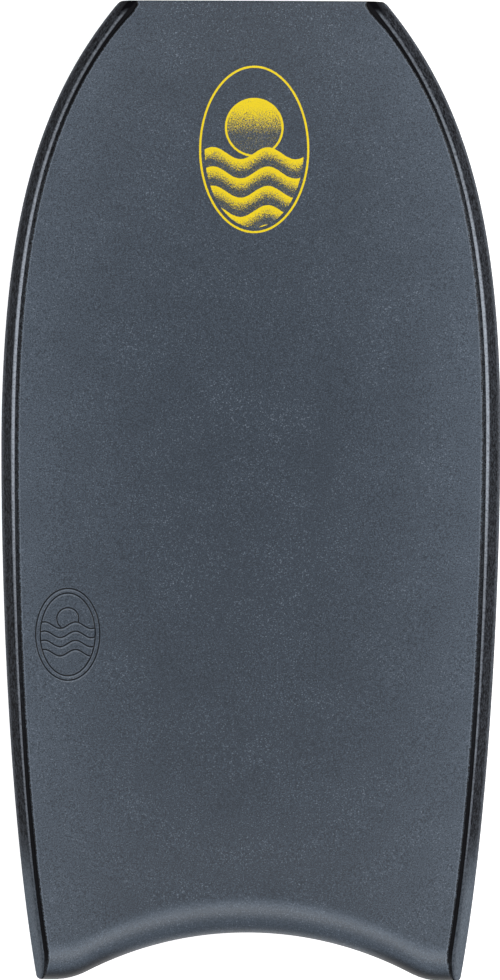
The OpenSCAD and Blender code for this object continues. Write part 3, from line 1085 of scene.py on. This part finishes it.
# The columns of the upper rail, in order: one in the seam, then round the widest edge, up the
# chine, over the bead and down into the groove, each group as shares of its own stretch
EDGE_TURNS = (0.56, 0.66, 0.8, 1.0)
CHINE_STEPS = (0.15, 0.3, 0.45, 0.6, 0.75, 0.9, 1.0)
OUTER_TURNS = (0.2, 0.4, 0.6, 0.8, 1.0)
INNER_TURNS = (0.25, 0.5, 0.75, 1.0)
CHINE_COLUMN = 1 + len(EDGE_TURNS)
BEAD_COLUMN = CHINE_COLUMN + len(CHINE_STEPS)
GROOVE_COLUMN = BEAD_COLUMN + len(OUTER_TURNS)


def widest_edge(t, turns):
    """The curve round the board's widest edge: its points below and above, and the columns that
    lie in the seam and at each of the curve's parameters in turns."""
    base_z = edge_z(t)
    above = side(t, lean(t) * EDGE_ROUND, base_z + EDGE_ROUND)
    edge = side(t, 0, base_z)
    below = tuck(t, base_z - rocker(t) - EDGE_ROUND)
    seam = blend_points(below, edge, above, 0.5) - np.array([SEAM_IN, 0, 0])
    return below, above, [seam, *(blend_points(below, edge, above, u) for u in turns)]


def chine_profile(t):
    """Columns of the upper rail's outer face, from the seam at the widest edge up to the bead."""
    base_z, w = edge_z(t), chine_w(t)
    top = top_z(t)
    sunk = GROOVE_DEPTH * (1 - smooth((t - BEAD_FADE_FROM) / BEAD_FADE_LEN))
    crest = top - sunk
    above, turn = widest_edge(t, EDGE_TURNS)[1:]

    drop = np.minimum(BEAD_DROP, BEAD_DROP_SHARE * (crest - base_z))
    face_top = side(t, w * (crest - drop - base_z) / (top - base_z), crest - drop)
    face = [above + (face_top - above) * s for s in CHINE_STEPS]
    crest_side = side(t, w, crest)
    crest_middle = side(t, w + 0.5 * bead_w(t), crest)
    crest_inner = side(t, w + bead_w(t), crest)
    wall = np.minimum(BEAD_WALL, np.maximum(GROOVE_DEPTH - sunk - BEAD_WALL_LEFT, LEAST_WALL))
    wall_top = side(t, w + bead_w(t), crest - wall)
    outer_turn = [blend_points(face_top, crest_side, crest_middle, u) for u in OUTER_TURNS]
    inner_turn = [blend_points(crest_middle, crest_inner, wall_top, u) for u in INNER_TURNS]
    return [*turn, *face, *outer_turn, *inner_turn]


def across(count, first, values, before=0.0, after=0.0):
    """One number for each column of a strip: values from column first on, and before and after
    them."""
    numbers = np.full(count, after)
    numbers[:first] = before
    numbers[first:first + len(values)] = values
    return numbers


def all_along(t, numbers):
    """The same numbers across a strip at every distance t."""
    return np.outer(np.ones(len(t)), numbers)


def bead_highlight_strength(t):
    """Strength of the bead's painted highlight: most a little ahead of the middle, and less towards both
    ends.
    """
    shine = SHINE_AT_NOSE
    for start, length, change in SHINE_CHANGES:
        shine = shine + change * smooth((t - start) / length)
    return shine


def bead_painted_highlight(t, count):
    """Share of painted highlight at each row and column: a streak along the bead's crest."""
    shares = (-0.25, -0.1, 0.05, 0.15, 0.25, 0.37, 0.5, 0.65, 0.8, 0.95, 1.0)
    over_bead = across(count, BEAD_COLUMN - 2, shares, FAR_FROM_BEAD, FAR_FROM_BEAD)
    shine = bead_highlight_strength(t)
    off = np.abs(over_bead - STREAK_MIDDLE)[None, :] - (STREAK_HALF * shine)[:, None]
    return shine[:, None] * (1 - smooth(off / STREAK_FADE))


def painted_tail_light_share(t):
    """Share of painted light that turns the rails from charcoal to a lit slate grey."""
    return smooth((t - TAIL_LIGHT_FROM) / TAIL_LIGHT_FADE)


def make_upper_rail(hand, flip):
    t = rows(3, 3)
    profile = chine_profile(t)
    floor_z, under_z = deck_z(t, GROOVE_DEPTH), deck_z(t, GROOVE_DEPTH + PIN_T)
    hidden = [
        side(t, chine_w(t) + bead_w(t), floor_z - FLOOR_GAP),
        side(t, chine_w(t) + bead_w(t), under_z),
        place(t, deck_x(t), under_z),
        place(t, deck_x(t), deck_z(t, SKIN_T)),
        core_top(t),
        core_side(t),
    ]
    columns = profile + hidden
    count = len(columns)
    # Painted shade: black above the chine at the nose end, where the rail's top sinks to the groove
    capped = 1 - smooth((t - BEAD_FADE_FROM) / BEAD_FADE_LEN)
    above_chine = across(count, CHINE_COLUMN + 1, (0.1, 0.2, 0.4, 0.6, 0.9), after=1.0)
    # Painted reflection along the widest edge, and a painted highlight along the bead's crest
    on_edge = EDGE_HIGHLIGHT * across(count, 0, (1, 1, 1, 1, 0.9, 0.5))
    gloss_and_painted_highlight = bead_painted_highlight(t, count) + all_along(t, on_edge)
    # Painted shade down the wall into the groove
    into_groove = across(count, GROOVE_COLUMN, (0.15, 0.4, 0.7, 1), after=1.0)
    # Painted light towards the tail, fullest low on the chine
    painted_tail_light = painted_tail_light_share(t)
    painted_tail_light_across = across(count, CHINE_COLUMN + 4, (0.92, 0.8, 0.7, 0.6), 1.0, 0.55)
    marks = {
        "cap": np.outer(capped, above_chine).ravel(),
        "painted_tail_light": np.outer(painted_tail_light, painted_tail_light_across).ravel(),
        "gloss_and_painted_highlight": (gloss_and_painted_highlight * (1 - painted_tail_light)[:, None]).ravel(),
        "into_groove": all_along(t, into_groove).ravel(),
    }
    strip(f"upper_rail_strip_{hand}", columns, f"upper_rail_{hand}", "rail_foam", flip, marks)


def make_lower_rail(hand, flip):
    t = rows(3, 3)
    below, _, turn = widest_edge(t, [1 - u for u in EDGE_TURNS])
    foot = tuck(t, SLICK_T)
    face = [below + (foot - below) * s for s in (0.2, 0.4, 0.6, 0.8, 1.0)]
    columns = [
        core_side(t), *turn, *face,
        core_base(t, SLICK_T), core_base(t, SLICK_T + MESH_T),
    ]
    # Painted reflection along the widest edge
    on_edge = EDGE_HIGHLIGHT * across(len(columns), 1, (1, 1, 1, 1, 0.5))
    # Painted light towards the tail
    painted_tail_light = painted_tail_light_share(t)
    marks = {
        "painted_tail_light": np.outer(painted_tail_light, np.ones(len(columns))).ravel(),
        "gloss_and_painted_highlight": np.outer(1 - painted_tail_light, on_edge).ravel(),
    }
    strip(f"lower_rail_strip_{hand}", columns, f"lower_rail_{hand}", "rail_foam", flip, marks)


def pin_painted_light(t):
    """How much painted light the pin line has."""
    front = PIN_LIT * smooth((t - PIN_LIT_FROM) / PIN_LIT_RISE)
    front = front * (1 - smooth((t - PIN_LIT_DROP_FROM) / PIN_LIT_DROP))
    tip = smooth((t - PIN_TIP_LIT_FROM) / (BOARD_LEN - PIN_TIP_LIT_FROM))
    return np.maximum(front, tip)


def make_pin_line(hand, flip):
    t = rows(3, 3)
    floor_z, under_z = deck_z(t, GROOVE_DEPTH), deck_z(t, GROOVE_DEPTH + PIN_T)
    outer, inner = inset_x(t, chine_w(t) + bead_w(t)), deck_x(t)
    across = [place(t, inner + (outer - inner) * s, floor_z) for s in (0, 0.25, 0.5, 0.75, 1)]
    columns = [place(t, inner, under_z), *across, place(t, outer, under_z)]
    marks = {"painted_pin_light": np.outer(pin_painted_light(t), np.ones(len(columns))).ravel()}
    strip(f"pin_line_foam_{hand}", columns, f"pin_line_{hand}", "pin_line_black", flip, marks)


def make_slick():
    t, g = rows(8, 5), np.linspace(-1, 1, SLICK_COLUMNS)
    top = [base(t, share, SLICK_T) for share in g]
    under = [base(t, share, 0) for share in g]
    foot = TUCK * (1 - SLICK_FOOT_H / (edge_z(t) - rocker(t)))
    corner = [side(t, foot + inset, rocker(t) + h) for h, inset in SLICK_CORNER]
    wall = [tuck(t, SLICK_T), tuck(t, SLICK_WALL_H), *corner]
    sheet("slick_sheet", top, wall, under, "slick_skin", "slick_plastic")


def make_bumper(name, node, t):
    g = np.linspace(-1, 1, BUMPER_COLUMNS)
    top = [deck_under(t, share) for share in g]
    under = [base(t, share, SLICK_T) for share in g]
    wall = [core_top(t), core_side(t), core_base(t, SLICK_T + MESH_T), core_base(t, SLICK_T)]
    sheet(name, top, wall, under, node, "rail_foam")


def make_pieces():
    make_deck()
    make_slick()
    for hand, flip in (("right", False), ("left", True)):
        make_upper_rail(hand, flip)
        make_lower_rail(hand, flip)
        make_pin_line(hand, flip)
    nose_rows = np.linspace(0, CORNER_R, BUMPER_ROWS)
    make_bumper("nose_bumper_foam", "nose_bumper", nose_rows)
    bumper_len = ROLL_LEN * (1 - math.sin(BUMPER_ANGLE))
    tail_rows = BOARD_LEN - np.linspace(bumper_len, 0, BUMPER_ROWS)
    make_bumper("tail_bumper_foam", "tail_bumper", tail_rows)


def paint_hidden_parts():
    """Gives every CAD node its material. The core, stringer and mesh have no fine mesh, so theirs
    are the ones that stay."""
    slots = {part["node"]: part["material_slot"] for part in frame["record"]["subparts"]}
    for name, node in frame["nodes"].items():
        node.data.materials.clear()
        node.data.materials.append(MATERIALS[slots[name]])


# ---------------------------------------------------------------- studio
def make_camera():
    """A long lens above the deck, a little to the right, with the nose at the top of the picture."""
    height = 20.0
    view_len = 1.069
    turn = Euler((0, math.radians(1.2), math.radians(0.27)))
    aim = Vector((-0.0006, 0.0012, 0.03))
    data = bpy.data.cameras.new("camera")
    data.sensor_width = 36
    data.lens = data.sensor_width * height / view_len
    data.clip_start, data.clip_end = 0.1, 100
    camera = bpy.data.objects.new("camera", data)
    camera.location = aim + turn.to_matrix() @ Vector((0, 0, height))
    camera.rotation_euler = turn
    bpy.context.scene.collection.objects.link(camera)
    bpy.context.scene.camera = camera


def softbox(name, place, size, power):
    """A soft area light that faces the middle of the board."""
    data = bpy.data.lights.new(name, "AREA")
    data.shape = "RECTANGLE"
    data.size, data.size_y = size
    data.energy = power
    light = bpy.data.objects.new(name, data)
    light.location = place
    light.rotation_mode = "QUATERNION"
    light.rotation_quaternion = (Vector((0, 0, 0.05)) - light.location).to_track_quat("-Z", "Y")
    light.visible_camera = False
    bpy.context.scene.collection.objects.link(light)


def make_floor():
    """A wide pale floor just below the board, with a faint glow of its own so that it looks white."""
    half = 30
    below_board = 0.0002
    glow = 0.6
    mesh = bpy.data.meshes.new("floor")
    corners = [(-half, -half, 0), (half, -half, 0), (half, half, 0), (-half, half, 0)]
    mesh.from_pydata(corners, [], [(0, 1, 2, 3)])
    floor = bpy.data.objects.new("floor", mesh)
    floor.location.z = cad_low.z - below_board
    bpy.context.scene.collection.objects.link(floor)
    paint = Paint("pale_floor", Specular_IOR_Level=0.1)
    paint.shader.inputs["Emission Color"].default_value = rgb(1, 1, 1)
    paint.shader.inputs["Emission Strength"].default_value = glow
    mesh.materials.append(paint.finish(rgb(0.93, 0.93, 0.93), 0.9))


def make_world():
    world = bpy.data.worlds.new("studio")
    world.use_nodes = True
    background = world.node_tree.nodes["Background"]
    background.inputs["Color"].default_value = rgb(0.95, 0.97, 1.0)
    background.inputs["Strength"].default_value = 0.45
    bpy.context.scene.world = world


def make_studio():
    make_camera()
    make_floor()
    make_world()
    softbox("tail_softbox", (0, -1.8, 3.4), (2.4, 1.1), 56)
    softbox("right_softbox", (1.5, 0.5, 1.6), (0.6, 1.0), 27)
    softbox("left_softbox", (-1.5, 0.15, 1.6), (0.6, 1.4), 7)
    softbox("nose_softbox", (0, 1.9, 1.9), (2.0, 0.6), 11)
    bpy.context.scene.view_settings.view_transform = "Standard"


make_studio()
make_pieces()
paint_hidden_parts()
